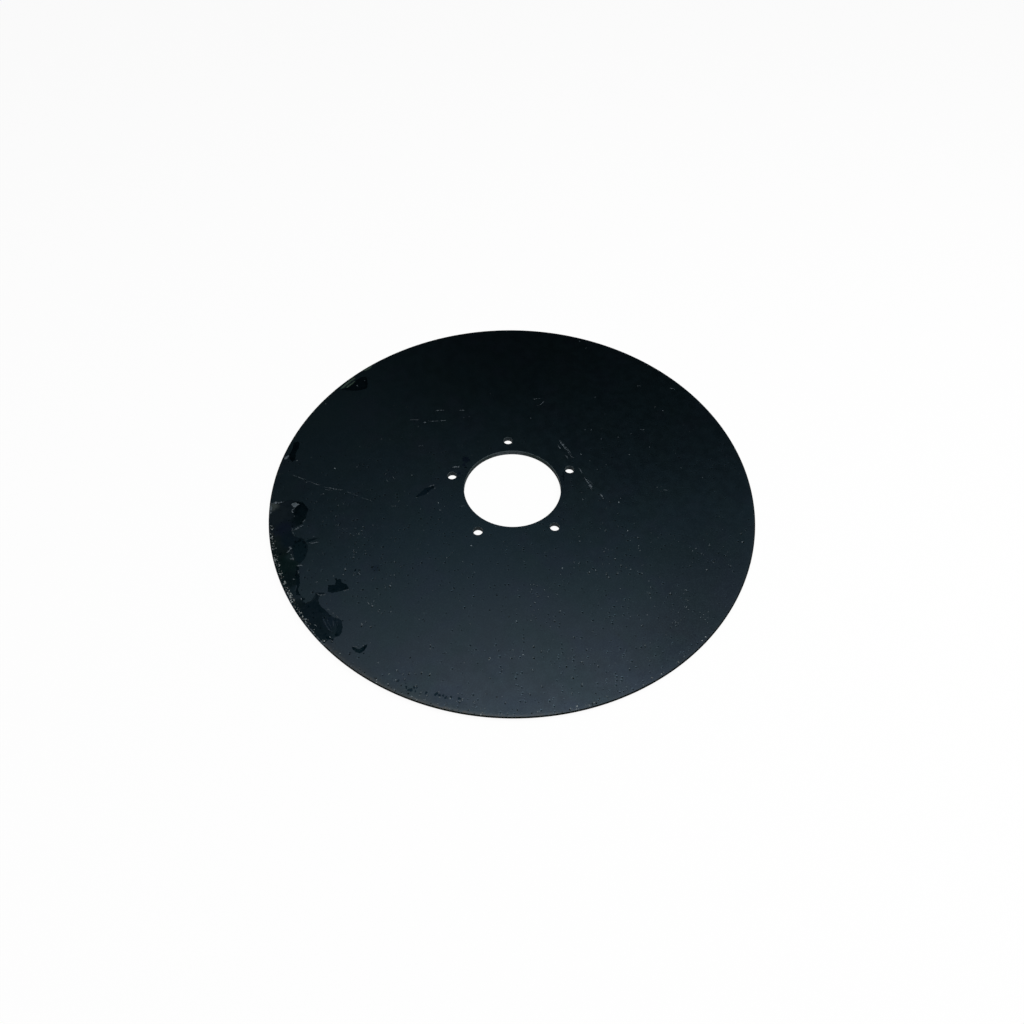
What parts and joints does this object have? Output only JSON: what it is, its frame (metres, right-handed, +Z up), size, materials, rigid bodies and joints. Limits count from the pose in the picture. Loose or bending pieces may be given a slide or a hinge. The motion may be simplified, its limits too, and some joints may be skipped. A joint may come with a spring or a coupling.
{
  "type": "seed drill disc",
  "caption": "Flat round steel opener disc with a large central bore, a circle of bolt holes close round it and a rim bevelled to a cutting edge on one side.",
  "frame": {"origin": "on the bore's axis, at the level of the underside that the disc lies on", "axes": "+Z up along the bore's axis, out of the flat upper face; the first bolt hole lies on +Y"},
  "size_m": [0.38, 0.38, 0.0045],
  "materials": {
    "coated_steel": "satin blue-black coating on hardened steel plate"
  },
  "bodies": {
    "root": {"disc": "coated_steel"}
  },
  "joints": []
}
